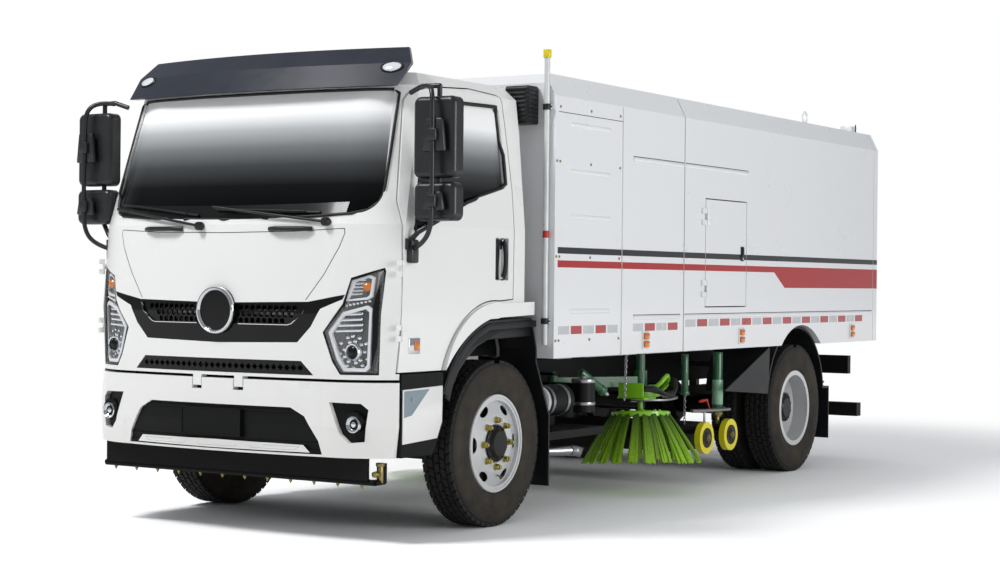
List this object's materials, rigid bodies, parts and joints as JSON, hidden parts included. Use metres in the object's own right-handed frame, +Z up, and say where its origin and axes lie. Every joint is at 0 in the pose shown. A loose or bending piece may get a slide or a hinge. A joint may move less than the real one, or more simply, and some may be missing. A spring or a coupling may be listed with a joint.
{
  "type": "street sweeper truck",
  "caption": "Two-axle street sweeper truck: tilting cab, fixed tank housing, tipping dirt hopper with tailgate, suction nozzle on casters and side brushes that swing out.",
  "frame": {"origin": "on the ground, at the middle of the overall length and width", "axes": "front faces -Y, +X to the truck's left, +Z up"},
  "size_m": [2.77, 7.052, 2.832],
  "materials": {
    "cab_paint": "gloss warm white paint",
    "panel_paint": "gloss light grey-white paint",
    "chassis_paint": "satin black paint",
    "bare_steel": "satin",
    "dark_plastic": "grained",
    "visor_plastic": "gloss slate",
    "glazing": "tinted",
    "lamp_lens": "clear",
    "rubber_tyre": "dusty black",
    "rim_paint": "satin silver paint",
    "seat_cloth": "woven",
    "green_paint": "gloss green paint",
    "lime_bristle": "satin lime",
    "caster_tread": "satin yellow",
    "tank_metal": "satin",
    "level_plastic": "clear tube with a yellow cap"
  },
  "bodies": {
    "chassis": {"rail_left": "chassis_paint", "rail_right": "chassis_paint", "cross_members": "chassis_paint", "front_axle": "chassis_paint", "rear_axle": "chassis_paint", "powertrain": "chassis_paint", "bumper": "cab_paint", "bumper_insert": "dark_plastic", "step_boxes": "dark_plastic", "mudguards": "dark_plastic", "rear_bars": "chassis_paint", "side_equipment": "chassis_paint", "exhaust": "bare_steel", "fuel_tank": "tank_metal", "suction_duct": "green_paint", "spray_bars": "bare_steel", "front_box": "panel_paint", "aux_engine": "chassis_paint", "level_tube": "level_plastic", "air_intake": "dark_plastic"},
    "cab": {"cab_shell": "cab_paint", "windscreen": "glazing", "sun_visor": "visor_plastic", "headlamps": "lamp_lens", "grille": "dark_plastic", "wipers": "dark_plastic", "dashboard": "dark_plastic", "seats": "seat_cloth"},
    "door_left": {"door_left": "cab_paint", "door_glass_left": "glazing", "mirror_left": "dark_plastic"},
    "door_right": {"door_right": "cab_paint", "door_glass_right": "glazing", "mirror_right": "dark_plastic"},
    "knuckle_left": {"knuckle_left": "chassis_paint"},
    "knuckle_right": {"knuckle_right": "chassis_paint"},
    "tie_rod": {"tie_rod": "chassis_paint"},
    "wheel_fl": {"tyre_fl": "rubber_tyre", "rim_fl": "rim_paint"},
    "wheel_fr": {"tyre_fr": "rubber_tyre", "rim_fr": "rim_paint"},
    "wheel_rl": {"tyre_rl": "rubber_tyre", "rim_rl": "rim_paint"},
    "wheel_rr": {"tyre_rr": "rubber_tyre", "rim_rr": "rim_paint"},
    "hopper": {"hopper": "panel_paint"},
    "side_door": {"side_door": "panel_paint"},
    "tailgate": {"tailgate": "panel_paint"},
    "tip_barrels": {"tip_barrels": "chassis_paint"},
    "tip_rods": {"tip_rods": "bare_steel"},
    "nozzle": {"nozzle": "chassis_paint"},
    "casters_front": {"casters_front": "caster_tread"},
    "casters_rear": {"casters_rear": "caster_tread"},
    "brush_arm_left": {"brush_arm_left": "green_paint"},
    "brush_arm_right": {"brush_arm_right": "green_paint"},
    "brush_head_left": {"brush_head_left": "green_paint"},
    "brush_head_right": {"brush_head_right": "green_paint"},
    "side_brush_left": {"side_brush_left": "lime_bristle"},
    "side_brush_right": {"side_brush_right": "lime_bristle"}
  },
  "joints": [
    {"name": "cab_tilt", "type": "hinge", "parent": "chassis", "child": "cab", "pos_m": [0, -3.479, 0.85], "axis": [1, 0, 0], "range_deg": [0, 45]},
    {"name": "door_left_swing", "type": "hinge", "parent": "cab", "child": "door_left", "pos_m": [1.097, -3.269, 1.6], "axis": [0, 0, -1], "range_deg": [0, 70]},
    {"name": "door_right_swing", "type": "hinge", "parent": "cab", "child": "door_right", "pos_m": [-1.097, -3.269, 1.6], "axis": [0, 0, 1], "range_deg": [0, 70]},
    {"name": "steer_left", "type": "hinge", "parent": "chassis", "child": "knuckle_left", "pos_m": [0.8, -2.264, 0.487], "axis": [0, 0, 1], "range_deg": [-35, 35]},
    {"name": "steer_right", "type": "hinge", "parent": "chassis", "child": "knuckle_right", "pos_m": [-0.8, -2.264, 0.487], "axis": [0, 0, 1], "range_deg": [-35, 35]},
    {"name": "tie_rod_shift", "type": "slide", "parent": "chassis", "child": "tie_rod", "axis": [1, 0, 0], "range_m": [-0.14, 0.14]},
    {"name": "wheel_fl_spin", "type": "hinge", "parent": "knuckle_left", "child": "wheel_fl", "pos_m": [0.97, -2.264, 0.487], "axis": [1, 0, 0], "continuous": true},
    {"name": "wheel_fr_spin", "type": "hinge", "parent": "knuckle_right", "child": "wheel_fr", "pos_m": [-0.97, -2.264, 0.487], "axis": [1, 0, 0], "continuous": true},
    {"name": "wheel_rl_spin", "type": "hinge", "parent": "chassis", "child": "wheel_rl", "pos_m": [0.903, 1.936, 0.487], "axis": [1, 0, 0], "continuous": true},
    {"name": "wheel_rr_spin", "type": "hinge", "parent": "chassis", "child": "wheel_rr", "pos_m": [-0.903, 1.936, 0.487], "axis": [1, 0, 0], "continuous": true},
    {"name": "hopper_tip", "type": "hinge", "parent": "chassis", "child": "hopper", "pos_m": [0, 3.216, 0.935], "axis": [-1, 0, 0], "range_deg": [0, 45]},
    {"name": "tip_barrel_swing", "type": "hinge", "parent": "chassis", "child": "tip_barrels", "pos_m": [0, 2.186, 0.745], "axis": [-1, 0, 0], "range_deg": [0, 68]},
    {"name": "tip_rod_slide", "type": "slide", "parent": "tip_barrels", "child": "tip_rods", "axis": [0, -0.9806, 0.1961], "range_m": [0, 0.69]},
    {"name": "tailgate_swing", "type": "hinge", "parent": "hopper", "child": "tailgate", "pos_m": [0, 3.439, 2.724], "axis": [1, 0, 0], "range_deg": [0, 80]},
    {"name": "side_door_swing", "type": "hinge", "parent": "hopper", "child": "side_door", "pos_m": [1.204, 0.257, 1.65], "axis": [0, 0, -1], "range_deg": [0, 100]},
    {"name": "nozzle_lift", "type": "slide", "parent": "chassis", "child": "nozzle", "axis": [0, 0, -1], "range_m": [0, 0.22]},
    {"name": "casters_front_spin", "type": "hinge", "parent": "nozzle", "child": "casters_front", "pos_m": [0, 0.4885, 0.345], "axis": [1, 0, 0], "continuous": true},
    {"name": "casters_rear_spin", "type": "hinge", "parent": "nozzle", "child": "casters_rear", "pos_m": [0, 0.8835, 0.345], "axis": [1, 0, 0], "continuous": true},
    {"name": "brush_arm_left_swing", "type": "hinge", "parent": "chassis", "child": "brush_arm_left", "pos_m": [0.51, -0.664, 0.76], "axis": [0, 0, -1], "range_deg": [0, 25]},
    {"name": "brush_head_left_drop", "type": "slide", "parent": "brush_arm_left", "child": "brush_head_left", "axis": [0, 0, -1], "range_m": [0, 0.17]},
    {"name": "side_brush_left_spin", "type": "hinge", "parent": "brush_head_left", "child": "side_brush_left", "pos_m": [0.88, -0.104, 0.615], "axis": [-0.0609, 0.0609, 0.9963], "continuous": true},
    {"name": "brush_arm_right_swing", "type": "hinge", "parent": "chassis", "child": "brush_arm_right", "pos_m": [-0.51, -0.664, 0.76], "axis": [0, 0, 1], "range_deg": [0, 25]},
    {"name": "brush_head_right_drop", "type": "slide", "parent": "brush_arm_right", "child": "brush_head_right", "axis": [0, 0, -1], "range_m": [0, 0.17]},
    {"name": "side_brush_right_spin", "type": "hinge", "parent": "brush_head_right", "child": "side_brush_right", "pos_m": [-0.88, -0.104, 0.615], "axis": [0.0609, 0.0609, 0.9963], "continuous": true}
  ],
  "couplings": [
    {"joint": "steer_right", "follows": "steer_left", "ratio": 1},
    {"joint": "tie_rod_shift", "follows": "steer_left", "m_per_rad": -0.2159},
    {"joint": "tip_barrel_swing", "follows": "hopper_tip", "ratio": 1.4872},
    {"joint": "tip_rod_slide", "follows": "hopper_tip", "m_per_rad": 0.8539}
  ]
}
